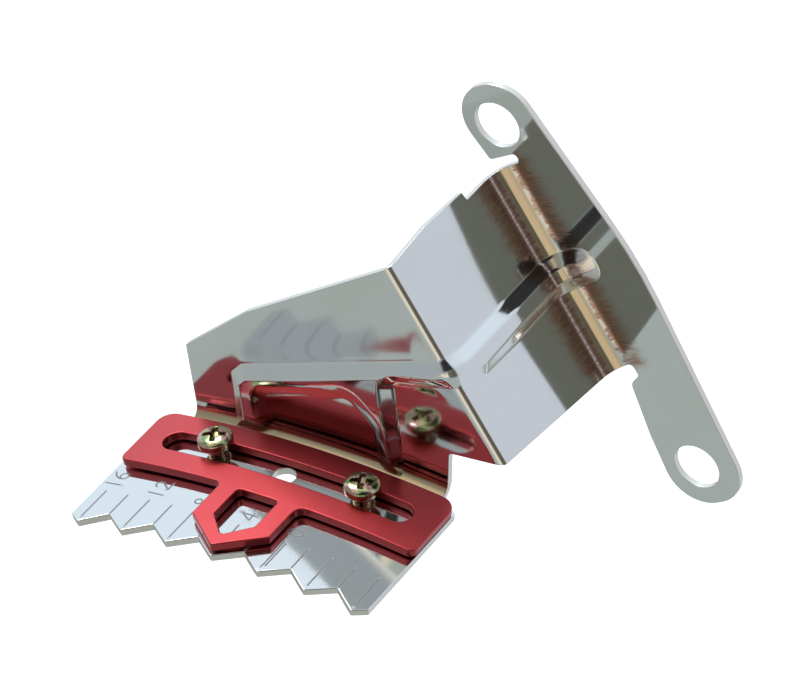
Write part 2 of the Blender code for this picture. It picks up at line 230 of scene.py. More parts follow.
def rounded(corners, step=math.radians(9)):
    """Closed outline through (point, radius) corners: each corner becomes the arc of its radius that touches
    both sides, given as centre + radius turned by even steps."""
    outline = []
    count = len(corners)
    for i, (corner, radius) in enumerate(corners):
        corner = Vector(corner)
        before = (Vector(corners[i - 1][0]) - corner).normalized()
        after = (Vector(corners[(i + 1) % count][0]) - corner).normalized()
        half = before.angle(after) / 2
        reach = radius / math.tan(half)
        centre = corner + (before + after).normalized() * (radius / math.sin(half))
        start = corner + before * reach - centre
        turn = start.angle_signed(corner + after * reach - centre)
        pieces = max(3, math.ceil(abs(turn) / step))
        outline += [centre + Matrix.Rotation(-turn * k / pieces, 2) @ start for k in range(pieces + 1)]
    return np.array(outline)


def even(outline, longest):
    """The same closed outline with its long sides cut into equal pieces."""
    after = np.roll(outline, -1, axis=0)
    counts = np.maximum(1, np.ceil(np.linalg.norm(after - outline, axis=1) / longest).astype(int))
    starts = np.repeat(np.arange(len(outline)), counts)
    share = (np.arange(len(starts)) - np.repeat(np.cumsum(counts) - counts, counts)) / counts[starts]
    return outline[starts] + share[:, None] * (after - outline)[starts]


def circle(centre, radius, count):
    """Clockwise circle: centre + radius (cos t, -sin t)."""
    turn = np.linspace(0, 2 * np.pi, count, endpoint=False)
    return np.asarray(centre) + radius * np.stack((np.cos(turn), -np.sin(turn)), -1)


def to_segments(points, starts, ends):
    """Distance from each point to the nearest of the segments: the length of point - start - share * side,
    with the share held between 0 and 1."""
    side = ends - starts
    length2 = np.maximum((side ** 2).sum(1), 1e-12)
    nearest = np.empty(len(points))
    for part in np.array_split(np.arange(len(points)), max(1, len(points) // 4000)):
        offset = points[part, None] - starts
        share = np.clip((offset * side).sum(-1) / length2, 0, 1)
        nearest[part] = np.sqrt(((offset - share[..., None] * side) ** 2).sum(-1)).min(1)
    return nearest


def inside(points, outline):
    """Whether each point is inside an outline: the sides to its right are crossed an odd number of times."""
    after = np.roll(outline, -1, axis=0)
    x, y = points[:, None, 0], points[:, None, 1]
    spans = (outline[:, 1] > y) != (after[:, 1] > y)
    rise = np.where(after[:, 1] == outline[:, 1], 1e-12, after[:, 1] - outline[:, 1])
    crossing = outline[:, 0] + (y - outline[:, 1]) * (after[:, 0] - outline[:, 0]) / rise
    return (spans & (x < crossing)).sum(1) % 2 == 1


def distance_inside(points, outline):
    """Distance to an outline, positive inside it."""
    nearest = to_segments(points, outline, np.roll(outline, -1, axis=0))
    return np.where(inside(points, outline), nearest, -nearest)


def ease(value):
    """Smooth step with level ends: 6 t^5 - 15 t^4 + 10 t^3."""
    t = np.clip(value, 0, 1)
    return t ** 3 * (t * (6 * t - 15) + 10)


def grid(xs, ys):
    return np.stack(np.meshgrid(xs, ys), -1).reshape(-1, 2)


# ---------------------------------------------------------------- blank of the bracket

def bend_length(radius):
    return radius * np.pi / 2


WALL_START_Q = bend_length(EDGE_BEND_R) - EDGE_BEND_R
CREASE_START_Q = WALL_START_Q + WALL_DEPTH - CREASE_R - EDGE_BEND_R
FLANGE_START_Q = CREASE_START_Q + bend_length(CREASE_R)


def on_plate(arc, forward):
    """Blank position of a plate point: arc becomes an angle, and the distance forward a smaller radius."""
    radius = DIAL_R + 2 * PLATE_BEND_R - bend_length(PLATE_BEND_R) - forward
    angle = np.asarray(arc) / DIAL_R
    return np.stack((radius * np.sin(angle), radius * np.cos(angle) - DIAL_R), -1)


def plate_coordinates(points):
    """Arc and distance forward of blank points, the reverse of on_plate."""
    radius = np.hypot(points[:, 0], points[:, 1] + DIAL_R)
    arc = np.arctan2(points[:, 0], points[:, 1] + DIAL_R) * DIAL_R
    return np.stack((arc, DIAL_R + 2 * PLATE_BEND_R - bend_length(PLATE_BEND_R) - radius), -1)


def on_edge(along, across):
    return EDGE_TOP + np.multiply.outer(along, EDGE_DIR) + np.multiply.outer(across, EDGE_OUT)


def on_wall(along, depth):
    return on_edge(along, WALL_START_Q + depth - EDGE_BEND_R)


def on_flange(along, out):
    return on_edge(along, FLANGE_START_Q + out - CREASE_R)


def edge_coordinates(points):
    """Distances along and across the edge bend."""
    return (points - EDGE_TOP) @ EDGE_DIR, (points - EDGE_TOP) @ EDGE_OUT


def bracket_corners():
    """Corners of the flat blank, anticlockwise seen from the face with the scale."""
    last = (TEETH - 1) / 2 * PITCH
    corner_n = TIP_N - (TIP_N - VALLEY_N) * (PLATE_HALF - last) / (PITCH / 2)
    teeth = [(on_plate(-PLATE_HALF, corner_n), 0.2)]
    for i in range(2 * TEETH - 1):
        teeth.append((on_plate(i * PITCH / 2 - last, VALLEY_N if i % 2 else TIP_N), 0.12 if i % 2 else 0.22))
    teeth.append((on_plate(PLATE_HALF, corner_n), 0.2))
    right = [(on_plate(PLATE_HALF, SHOULDER_N), 0.8), (on_plate(WEB_RIGHT, SHOULDER_N), 0.4),
             ((WEB_RIGHT + 0.9, 5.7), 0.6)]
    wall_low = [(EDGE_END, 0.3), (on_wall(33.0, 2), 0.3), (on_wall(35.0, 24.5), 0.3),
                (on_flange(35.0, 3.6), 0.7), (on_flange(37.2, 3.6), 0.7)]
    lower_ear = [(on_flange(37.8, 1.6), 1.5), (on_flange(46.5, -0.2), 4),
                 (on_flange(LOWER_EAR[0] + EAR_R, LOWER_EAR[1] - EAR_R - 0.2), EAR_CORNER_R),
                 (on_flange(LOWER_EAR[0] + EAR_R, LOWER_EAR[1] + EAR_R), EAR_CORNER_R)]
    strap = [(on_flange(20.0, 14.1), 60)]
    upper_ear = [(on_flange(UPPER_EAR[0] - EAR_R, UPPER_EAR[1] + EAR_R - 0.4), EAR_CORNER_R),
                 (on_flange(UPPER_EAR[0] - EAR_R, UPPER_EAR[1] - EAR_R), EAR_CORNER_R),
                 (on_flange(-0.2, -0.5), 0.6)]
    wall_top = [(on_flange(-0.2, 4.2), 0.6), (on_flange(1.2, 4.2), 0.6), (on_wall(1.2, 19.4), 0.15),
                (on_wall(-0.1, 19.2), 0.15), (on_wall(-0.5, 10), 0.3), (on_wall(0, 2), 0.3)]
    web = [(EDGE_TOP, 0.3), ((-8.9, 20.4), 0.6), ((WEB_LEFT, 11.0), 0.3)]
    left = [(on_plate(WEB_LEFT, SHOULDER_N), 0.4), (on_plate(-PLATE_HALF, SHOULDER_N), 0.8)]
    return teeth + right + wall_low + lower_ear + strap + upper_ear + wall_top + web + left


def rib_outline():
    """Raised rib: a broad panel low on the web whose top arm runs over the edge bend to the flange."""
    low, high = RIB_S
    return rounded([((-13.4, -1.0), 0.1), ((14.8, -1.0), 0.1), ((14.9, 15.8), 1.5), (on_edge(19.8, -1.0), 3),
                    (on_wall(high, 6), 3), (on_flange(high, RIB_END_Q), 2.8),
                    (on_flange(low, RIB_END_Q), 2.8), (on_wall(low, 4), 6), (on_edge(low - 0.8, -1.5), 3),
                    ((-11.2, 10.8), 1.6), ((-13.4, 8.6), 1.4)])


def pocket_outline():
    """Hollow inside the panel, open towards the plate."""
    return rounded([((-8.2, -1.0), 0.1), ((12.3, -1.0), 0.1), ((11.8, 6.6), 3.5), ((7.9, 12.7), 3.2),
                    ((-8.3, 7.0), 1.6)])


RIB = rib_outline()
POCKET = pocket_outline()


def slope(value, blend=0.24):
    """Straight ramp from 0 to 1 with short parabolas at its foot and top: t^2 / (2 b (1 - b)), then
    (t - b / 2) / (1 - b), then the first piece turned round."""
    t = np.clip(value, 0, 1)
    foot = t ** 2 / (2 * blend * (1 - blend))
    top = 1 - (1 - t) ** 2 / (2 * blend * (1 - blend))
    return np.where(t < blend, foot, np.where(t > 1 - blend, top, (t - blend / 2) / (1 - blend)))


def rib_lift(points):
    """Pressed height: the rib's height, sloped up over the width of its wall, less the pocket's share, and
    lower where it crosses the edge bend. It stands on a skirt of height exp(distance / width), which fades
    out towards the edge bend, towards the foot of the web, and low on the web's right."""
    into = distance_inside(points, RIB)
    hollow = slope(distance_inside(points, POCKET) / POCKET_WALL + 0.5)
    across = edge_coordinates(points)[1]
    low_over_edge = 1 - 0.5 * np.exp(-(across / 1.7) ** 2)
    skirt = SKIRT_HEIGHT * np.exp(np.minimum(into, 0) / SKIRT_WIDTH)
    skirt *= ease((-across - 1.0) / 4) * ease((points[:, 1] - 7) / 5)
    skirt *= 1 - ease((points[:, 0] - 12) / 3) * ease((17 - points[:, 1]) / 3)
    sunk = POCKET_LEAN * np.clip(POCKET_TOP - points[:, 1], 0, POCKET_TOP) * hollow
    height = slope(into / RIB_WALL) * (sizes().rib_height / MM * (1 - POCKET_DEPTH * hollow) - sunk)
    return height * low_over_edge + skirt


def turn_bend(length, radius):
    """Travel along the old and the new direction after a length of a right-angle bend, and its angle:
    radius sin a, and radius (1 - cos a) plus what runs on beyond the bend."""
    angle = np.clip(length / radius, 0, np.pi / 2)
    beyond = np.maximum(0.0, length - bend_length(radius))
    before = np.minimum(0.0, length)
    return before + radius * np.sin(angle), radius * (1 - np.cos(angle)) + beyond, angle


def fold_bracket(points, home):
    """Blank points placed in space. Left of the edge bend the sheet is the web, whose foot turns forward
    into the plate round the crankshaft. Right of it, the sheet turns back into the wall and then into the
    flange. Home is the point that decides which side a point belongs to."""
    along, across = edge_coordinates(points)
    home_along, home_across = edge_coordinates(home)
    lift = rib_lift(points)

    height = np.hypot(points[:, 0], points[:, 1] + DIAL_R) - DIAL_R
    angle = np.arctan2(points[:, 0], points[:, 1] + DIAL_R)
    down, forward, turned = turn_bend(PLATE_BEND_R - height, PLATE_BEND_R)
    radius = DIAL_R + PLATE_BEND_R - down + lift * np.sin(turned)
    web = np.stack((radius * np.sin(angle), -forward - lift * np.cos(turned), radius * np.cos(angle)), -1)

    edge_out, edge_back, turned = turn_bend(across + EDGE_BEND_R, EDGE_BEND_R)
    crease_back, crease_out, crease_turned = turn_bend(across - CREASE_START_Q, CREASE_R)
    in_crease = across > CREASE_START_Q
    out = np.where(in_crease, crease_out + lift * np.cos(crease_turned),
                   edge_out + lift * np.sin(turned) - EDGE_BEND_R)
    back = np.where(in_crease, WALL_DEPTH - CREASE_R + crease_back - lift * np.sin(crease_turned),
                    edge_back - lift * np.cos(turned))
    ear = (home_along > 36.1) | ((home_along < 0.5) & (home_across > CREASE_START_Q - 2))
    out = np.where(ear, CREASE_R + across - FLANGE_START_Q, out)
    back = np.where(ear, WALL_DEPTH - lift, back)
    spot = EDGE_TOP + along[:, None] * EDGE_DIR + out[:, None] * EDGE_OUT
    wall = np.stack((spot[:, 0], back, spot[:, 1] + DIAL_R), -1)
    return np.where((home_across < -EDGE_BEND_R)[:, None], web, wall)


def wrap_pointer(points, home):
    """Pointer points on their cylinder: arc as an angle, at the radius of the pointer's top face."""
    radius = DIAL_R + GAP + POINTER_T
    angle = points[:, 0] / DIAL_R
    return np.stack((radius * np.sin(angle), points[:, 1], radius * np.cos(angle)), -1)


# ---------------------------------------------------------------- engraved scale

def glyph_strokes():
    """Pen strokes of the numbers, as points across and up from a number's middle, in millimetres."""
    turn = np.linspace(0, 2 * np.pi, 25)
    ring = np.stack((np.cos(turn), np.sin(turn)), -1)
    tail = np.linspace(0, 1, 9)
    hook = np.linspace(math.radians(165), math.radians(-35), 11)
    return {
        "0": [ring * (0.52, 0.98)],
        "1": [np.array(((0.0, -1.0), (0.0, 1.0)))],
        "2": [np.concatenate((np.stack((0.5 * np.cos(hook), 0.5 + 0.5 * np.sin(hook)), -1),
                              ((-0.55, -0.98), (0.6, -0.98))))],
        "4": [np.array(((0.28, -1.0), (0.28, 1.0), (-0.62, -0.38), (0.68, -0.38)))],
        "6": [ring * 0.52 + (0.0, -0.46),
              np.stack((-0.52 + 0.95 * tail ** 2, -0.4 + 1.4 * tail ** 0.8), -1)],
        "8": [ring * (0.43, 0.44) + (0.0, 0.52), ring * (0.52, 0.5) + (0.0, -0.46)],
    }


def scale_strokes():
    """Every engraved stroke of the scale as (arc, forward) points: a line at each tip and valley, and a
    number every four degrees, its top towards the left and read towards the web."""
    strokes = []
    for i in range(2 * TEETH - 1):
        arc = (i - TEETH + 1) * PITCH / 2
        strokes.append(np.array(((arc, 19.8), (arc, 24.2 if i % 2 else 25.9))))
    strokes.append(np.array(((PITCH + 0.42, 20.2), (PITCH + 0.42, 25.4))))
    glyphs = glyph_strokes()
    for text, arc, forward in LABELS:
        for i, letter in enumerate(text):
            shift = (i - (len(text) - 1) / 2) * NUMBER_STEP
            strokes += [np.stack((arc - NUMBER_SIZE * s[:, 1], forward - shift - NUMBER_SIZE * s[:, 0]), -1)
                        for s in glyphs[letter]]
    return strokes


STROKES = scale_strokes()
STROKE_STARTS = np.concatenate([s[:-1] for s in STROKES])
STROKE_ENDS = np.concatenate([s[1:] for s in STROKES])


def engraved(points):
    """How near a blank point is to a stroke: STROKE_REACH on its middle line, one less on its edge, and 0
    away from it."""
    plate = plate_coordinates(points)
    nearness = np.zeros(len(points))
    near = np.flatnonzero((plate[:, 1] > 14) & (edge_coordinates(points)[1] < -EDGE_BEND_R))
    half = sizes().engraving_width / MM / 2
    away = to_segments(plate[near], STROKE_STARTS, STROKE_ENDS) / half
    nearness[near] = np.clip(STROKE_REACH - away, 0, STROKE_REACH)
    return nearness


def stroke_seeds():
    """Rows of blank points along every stroke: its middle line, and lines beside it out past its edge."""
    half = sizes().engraving_width / MM / 2
    rows = []
    for stroke in STROKES:
        sides = np.diff(stroke, axis=0)
        lengths = np.linalg.norm(sides, axis=1)
        place = np.concatenate(((0,), np.cumsum(lengths)))
        at = np.linspace(0, place[-1], max(3, int(place[-1] / 0.22)))
        at = np.concatenate(((-0.12, -0.06), at, (place[-1] + 0.06, place[-1] + 0.12)))
        middles = (place[1:] + place[:-1]) / 2
        line = np.stack([np.interp(at, place, stroke[:, k]) for k in (0, 1)], -1)
        side = np.stack([np.interp(at, middles, sides[:, k] / lengths) for k in (0, 1)], -1)
        side /= np.linalg.norm(side, axis=1)[:, None]
        past = np.minimum(at, 0) + np.maximum(at - place[-1], 0)
        line += side * past[:, None]
        normal = np.stack((-side[:, 1], side[:, 0]), -1)
        rows += [line + normal * offset * half for offset in (-1.35, -0.9, -0.5, 0, 0.5, 0.9, 1.35)]
    return on_plate(*np.concatenate(rows).T)


# ---------------------------------------------------------------- meshes

def to_row(points):
    """Crankshaft frame to the part's frame, in metres: the origin moves midway between the bolt holes."""
    ears = (np.array(UPPER_EAR) + LOWER_EAR) / 2
    middle = EDGE_TOP + ears[0] * EDGE_DIR + ears[1] * EDGE_OUT
    return (points + (-middle[0], -WALL_DEPTH - SHEET, -middle[1] - DIAL_R)) * MM


def unit(vectors):
    return vectors / np.maximum(np.linalg.norm(vectors, axis=1), 1e-12)[:, None]


def surface_normals(surface, points, home):
    """Cross product of the surface's central differences along its two parameters."""
    across = surface(points + (STEP, 0), home) - surface(points - (STEP, 0), home)
    up = surface(points + (0, STEP), home) - surface(points - (0, STEP), home)
    return unit(np.cross(across, up))


def new_piece(name, points, faces, material, normals=None, attributes=None, uv=None):
    """Mesh object from arrays of points and faces, in place, with its own normals where they are given."""
    mesh = bpy.data.meshes.new(name)
    mesh.from_pydata(to_row(points), [], faces)
    for label, values in (attributes or {}).items():
        mesh.attributes.new(label, "FLOAT", "POINT").data.foreach_set("value", values.astype(np.float32))
    if uv is not None:
        corners = np.empty(len(mesh.loops), np.int32)
        mesh.loops.foreach_get("vertex_index", corners)
        layer = mesh.uv_layers.new(name="blank")
        layer.data.foreach_set("uv", (uv[corners] * MM / 0.1).astype(np.float32).ravel())
    mesh.update()
    if mesh.validate():
        raise RuntimeError(f"{name} has faces that are not valid")
    mesh.shade_smooth()
    if normals is None:
        mesh.set_sharp_from_angle(angle=math.radians(32))
    else:
        mesh.normals_split_custom_set_from_vertices(normals.tolist())
    mesh.materials.append(material)
    piece = bpy.data.objects.new(name, mesh)
    bpy.context.scene.collection.objects.link(piece)
    return piece


def sheet_piece(name, loops, seeds, surface, thickness, edge, material, cut_in=None, marks=None):
    """Sheet metal piece. The blank inside the loops is triangulated once. The surface carries it to space
    for the front face, and the same triangles at the sheet's thickness make the back. Round every loop runs
    the rim's profile: outward = edge sin t, depth = edge (1 - cos t), and the same mirrored at the back."""
    outward, inner = [], []
    for loop in loops:
        before, after = unit(loop - np.roll(loop, 1, axis=0)), unit(np.roll(loop, -1, axis=0) - loop)
        way = unit(before + after)
        side = np.stack((way[:, 1], -way[:, 0]), -1)
        stretch = np.minimum(1.6, 1 / np.maximum((before * way).sum(1), 0.4))
        outward.append(side * stretch[:, None])
        inner.append(loop - edge * outward[-1])
    rim = np.concatenate(inner)
    rim_out = np.concatenate(outward)
    starts = np.cumsum([0] + [len(loop) for loop in loops])
    following = np.concatenate([start + (np.arange(len(loop)) + 1) % len(loop)
                                for start, loop in zip(starts, loops)])
    keep = distance_inside(seeds, inner[0]) > 0.1
    for hole in inner[1:]:
        keep &= distance_inside(seeds, hole[::-1]) < -0.1
    spread = np.concatenate((rim, seeds[keep]))
    edges = np.stack((np.arange(len(rim)), following), -1)
    spots, _, faces, origin, *_ = geometry.delaunay_2d_cdt(
        [Vector(p) for p in spread], edges.tolist(), [], 1, 1e-6)
    spots, faces = np.array(spots), np.array(faces)
    centres = spots[faces].mean(1)
    solid = np.ones(len(faces), bool)
    for hole in inner[1:]:
        solid &= ~inside(centres, hole)
    faces = faces[solid]
    used = np.unique(faces)
    renumber = np.full(len(spots), -1)
    renumber[used] = np.arange(len(used))
    faces = renumber[faces]
    spot_of = np.full(len(spread), -1)
    sources = np.fromiter(itertools.chain.from_iterable(origin), int)
    spot_of[sources] = np.repeat(renumber, np.fromiter(map(len, origin), int))
    rim_spot = spot_of[:len(rim)]
    blank = spots[used]
    base = surface_normals(surface, blank, blank)
    flush = surface(blank, blank)
    top = flush - cut_in(blank)[:, None] * base if cut_in else flush
    bottom = flush - thickness * base
    rows, row_normals, row_cut = [], [], []
    quarter = np.radians((30, 60, 90))
    profile = [(t, edge * (1 - math.cos(t)), 1) for t in quarter]
    profile += [(t, thickness - edge * (1 - math.cos(t)), -1) for t in quarter[::-1]]
    for turn, depth, facing in profile:
        points = rim + edge * math.sin(turn) * rim_out
        normal = surface_normals(surface, points, rim)
        spot = surface(points, rim) - depth * normal
        ahead = points + STEP * rim_out
        beyond = surface(ahead, rim) - depth * surface_normals(surface, ahead, rim)
        rows.append(spot)
        row_normals.append(unit(facing * math.cos(turn) * normal + math.sin(turn) * unit(beyond - spot)))
        row_cut.append(np.full(len(rim), math.sin(turn)))
    count, first = len(blank), 2 * len(blank)
    ladder = [rim_spot] + [first + k * len(rim) + np.arange(len(rim)) for k in range(len(rows))]
    ladder += [rim_spot + count]
    walls = [np.stack((high, low, low[following], high[following]), -1)
             for high, low in zip(ladder, ladder[1:])]
    everything = np.concatenate((top, bottom, *rows))
    normals = np.concatenate((base, -base, *row_normals))
    flat = np.concatenate((blank, blank, *[rim + 0.4 * k * rim_out for k in range(len(rows))]))
    attributes = {"cut_edge": np.concatenate((np.zeros(2 * count), *row_cut))}
    for label, mark in (marks or {}).items():
        shown = mark(blank)
        attributes[label] = np.concatenate((shown, 0 * shown, np.zeros(len(rim) * len(rows))))
    all_faces = faces.tolist() + (faces[:, ::-1] + count).tolist() + np.concatenate(walls).tolist()
    return new_piece(name, everything, all_faces, material, normals, attributes, flat)


def clamp_place(points, side):
    """Points about a clamp hole's axis placed in the crankshaft frame: z runs out along the radius."""
    angle = SCREW_A[side] / DIAL_R
    x = points[:, 0] * math.cos(angle) + (DIAL_R + points[:, 2]) * math.sin(angle)
    z = (DIAL_R + points[:, 2]) * math.cos(angle) - points[:, 0] * math.sin(angle)
    return np.stack((x, points[:, 1] - HOLE_N, z), -1)


def wrap_faces(rows, steps, closed):
    """Quads of a grid that is closed round its steps, and also from its last row to its first if closed."""
    low, step = np.meshgrid(np.arange(rows if closed else rows - 1), np.arange(steps), indexing="ij")
    high, after = (low + 1) % rows, (step + 1) % steps
    corners = (low * steps + step, high * steps + step, high * steps + after, low * steps + after)
    return np.stack(corners, -1).reshape(-1, 4)


def end_fans(rows, steps):
    """Triangles that close an open profile's first and last rows. The two end points come after the grid's
    own points."""
    step = np.arange(steps)
    after = (step + 1) % steps
    count, last = rows * steps, (rows - 1) * steps
    first_fan = np.stack((np.full(steps, count), step, after), -1)
    last_fan = np.stack((np.full(steps, count + 1), last + after, last + step), -1)
    return np.concatenate((first_fan, last_fan))


def round_piece(name, radius, height, side, material, closed=False, recess=None):
    """Piece round a clamp axis: radius and height are arrays over profile row and angle step, and the point
    is (radius cos t, radius sin t, height). An open profile is closed at each end by a fan to its middle."""
    rows, steps = radius.shape
    turn = np.linspace(0, 2 * np.pi, steps, endpoint=False)
    points = np.stack((radius * np.cos(turn), radius * np.sin(turn), height), -1).reshape(-1, 3)
    faces = wrap_faces(rows, steps, closed).tolist()
    if not closed:
        ends = np.array(((0, 0, height[0].mean()), (0, 0, height[-1].mean())))
        points = np.concatenate((points, ends))
        faces += end_fans(rows, steps).tolist()
    marks = np.zeros(len(points))
    if recess is not None:
        marks[:recess.size] = recess.ravel()
    return new_piece(name, clamp_place(points, side), faces, material, attributes={"recess": marks})


def thread_radius(turn, height):
    """Thread: core radius plus a tooth made from wave = (1 + cos(2 pi height / pitch - turn)) / 2, with its
    crest and root cut flat."""
    wave = 0.5 + 0.5 * np.cos(2 * np.pi * (height / THREAD) - turn)
    return CORE_R + (SCREW_R - CORE_R) * np.clip(1.35 * wave - 0.12, 0, 1)


# ---------------------------------------------------------------- shader maths

class Value:
    """One output of a shader node. Python's operators on it add the Math nodes that work them out."""

    def __init__(self, nodes, socket):
        self.nodes = nodes
        self.socket = socket

    def math(self, operation, *values):
        return self.nodes.add("ShaderNodeMath", {"operation": operation}, dict(enumerate(values)))

    def __add__(self, other):
        return self.math("ADD", self, other)

    def __sub__(self, other):
        return self.math("SUBTRACT", self, other)

    def __rsub__(self, other):
        return self.math("SUBTRACT", other, self)

    def __mul__(self, other):
        return self.math("MULTIPLY", self, other)

    def __truediv__(self, other):
        return self.math("DIVIDE", self, other)

    def __abs__(self):
        return self.math("ABSOLUTE", self)

    __radd__ = __add__
    __rmul__ = __mul__

    def rise(self, low, high):
        """Smooth step from 0 at low to 1 at high."""
        return self.nodes.add("ShaderNodeMapRange", {"interpolation_type": "SMOOTHSTEP"},
                              {"Value": self, "From Min": low, "From Max": high})


class Nodes:
    """Builds one node tree."""

    def __init__(self, tree):
        self.tree = tree

    def add(self, kind, settings=None, sockets=None, output=0):
        """A node of that kind. Its settings are set first, a ramp's stops among them, then its sockets."""
        node = self.tree.nodes.new(kind)
        for name, value in (settings or {}).items():
            if name == "stops":
                ramp = node.color_ramp.elements
                while len(ramp) < len(value):
                    ramp.new(1)
                for element, (position, colour) in zip(ramp, value):
                    element.position, element.color = position, (*colour, 1)
            else:
                setattr(node, name, value)
        for name, value in (sockets or {}).items():
            socket = node.inputs[name]
            if isinstance(value, Value):
                self.tree.links.new(value.socket, socket)
            elif isinstance(value, (tuple, list)) and len(value) == 3 and socket.type == "RGBA":
                socket.default_value = (*value, 1)
            else:
                socket.default_value = value
        return Value(self, node.outputs[output]) if node.outputs else None

    def mix(self, factor, first, second):
        """Colour between two colours."""
        return self.add("ShaderNodeMix", {"data_type": "RGBA"}, {0: factor, 6: first, 7: second}, 2)

    def noise(self, vector, scale, detail):
        return self.add("ShaderNodeTexNoise", None, {"Vector": vector, "Scale": scale, "Detail": detail})

    def join(self, x, y):
        return self.add("ShaderNodeCombineXYZ", None, {"X": x, "Y": y})

    def attribute(self, name):
        return self.add("ShaderNodeAttribute", {"attribute_name": name}, None, 2)


def start_material(name):
    """New material with an empty tree, and its Nodes."""
    material = bpy.data.materials.new(name)
    material.use_nodes = True
    material.node_tree.nodes.clear()
    return material, Nodes(material.node_tree)


def finish_material(nodes, sockets):
    shader = nodes.add("ShaderNodeBsdfPrincipled", None, sockets)
    nodes.add("ShaderNodeOutputMaterial", None, {"Surface": shader})


def plating_material():
    """Bright plating: mirror metal with faint smears and pits. It has a painted warm reflection in the two
    inner bends, painted brown reflections at the combed edges beside the crease, painted shade low in the
    pocket, and is grey and matt in the engraving."""
    material, nodes = start_material("bright_plating")
    place = nodes.add("ShaderNodeTexCoord", None, None, 3)
    engraving = nodes.attribute("engraving")
    cut = nodes.attribute("cut_edge")
    foot = nodes.attribute("foot")
    along = nodes.attribute("along")
    across = nodes.attribute("across")
    shade = nodes.attribute("shade")
    bend = (across - CREASE_START_Q) / (FLANGE_START_Q - CREASE_START_Q)
    folded = along.rise(0.1, 1.0) * (1 - along.rise(35.0, 36.2))
    comb = nodes.noise(nodes.join(along * 3.2, across * 0.45), 1.0, 4).rise(0.36, 0.62)
    ragged = nodes.noise(nodes.join(along * 1.1, across * 0.2), 1.0, 3)
    lines = nodes.noise(nodes.join(along * 0.12, across * 7.0), 1.0, 3)
    edge = bend + (ragged - 0.5) * 0.5
    # Painted reflection: brown bands at both ends of the crease bend; the comb also roughens and bumps them.
    brown = edge.rise(-0.5, -0.1) * (1 - edge.rise(0.3, 0.45))
    brown = brown + edge.rise(0.8, 0.9) * (1 - edge.rise(1.2, 1.7))
    # Painted reflection: a warm band across the middle of the crease and along the foot bend between plate
    # and web.
    warm_reflection_band = bend.rise(0.36, 0.48) * (1 - bend.rise(0.72, 0.84)) + foot
    smear = nodes.noise(place, 60, 4).rise(0.42, 0.72)
    grain = nodes.noise(place, 2600, 2)
    pits = nodes.noise(place, 900, 1).rise(0.70, 0.78)
    base = tuple(finishes().plating)
    colour = nodes.mix(smear * 0.35, base, tuple(c * t for c, t in zip(base, (0.93, 0.90, 0.86))))
    colour = nodes.mix(brown * folded * (comb * 0.45 + 0.45), colour, (0.46, 0.27, 0.20))
    colour = nodes.mix(warm_reflection_band * (lines * 0.6 + 0.5) * (folded + foot), colour, (0.62, 0.48, 0.30))
    colour = nodes.mix(cut * 0.7, colour, (0.92, 0.86, 0.78))
    # Painted shade: a dark band low in the pocket stands in for the pointer's shaded back edge seen in the
    # plating.
    colour = nodes.mix(shade * 0.95, colour, (0.24, 0.12, 0.10))
    colour = nodes.mix(engraving * 0.95, colour, (0.17, 0.17, 0.19))
    rough = finishes().plating_roughness + smear * 0.03 + grain * 0.02 + cut * 0.2 + engraving * 0.4
    rough = rough + brown * folded * comb * 0.14 + foot * 0.2
    height = lines * warm_reflection_band * folded + comb * brown * folded * 0.6
    height = height + nodes.noise(place, 130, 2) * 0.5 - pits * 0.05
    bump = nodes.add("ShaderNodeBump", None, {"Strength": 0.12, "Distance": 0.00006, "Height": height})
    finish_material(nodes, {"Base Color": colour, "Roughness": rough, "Metallic": 1 - engraving * 0.9,
                            "Normal": bump})
    return material


def red_material():
    """Satin red anodising: fine blasted grain under a thin clear layer, with painted shade making the cut
    edges a little darker.
    """
    material, nodes = start_material("red_anodising")
    place = nodes.add("ShaderNodeTexCoord", None, None, 3)
    cut = nodes.attribute("cut_edge")
    cloud = nodes.noise(place, 180, 4).rise(0.35, 0.7)
    grain = nodes.noise(place, 5200, 2)
    specks = nodes.noise(place, 1500, 2).rise(0.68, 0.76)
    red = tuple(finishes().red)
    colour = nodes.mix(cloud * 0.5, red, tuple(c * 0.86 for c in red))
    colour = nodes.mix(specks * 0.25, colour, tuple(min(1, c * 1.25 + 0.02) for c in red))
    # Painted shade: the pointer's cut edges are drawn a darker red.
    colour = nodes.mix(cut * 0.3, colour, tuple(c * 0.8 for c in red))
    rough = finishes().red_roughness + cloud * 0.05 + grain * 0.06 - cut * 0.05
    bump = nodes.add("ShaderNodeBump", None, {"Strength": 0.25, "Distance": 0.00003, "Height": grain})
    finish_material(nodes, {"Base Color": colour, "Roughness": rough, "Metallic": 1.0, "Coat Weight": 0.7,
                            "Coat Roughness": 0.28, "Normal": bump})
    return material


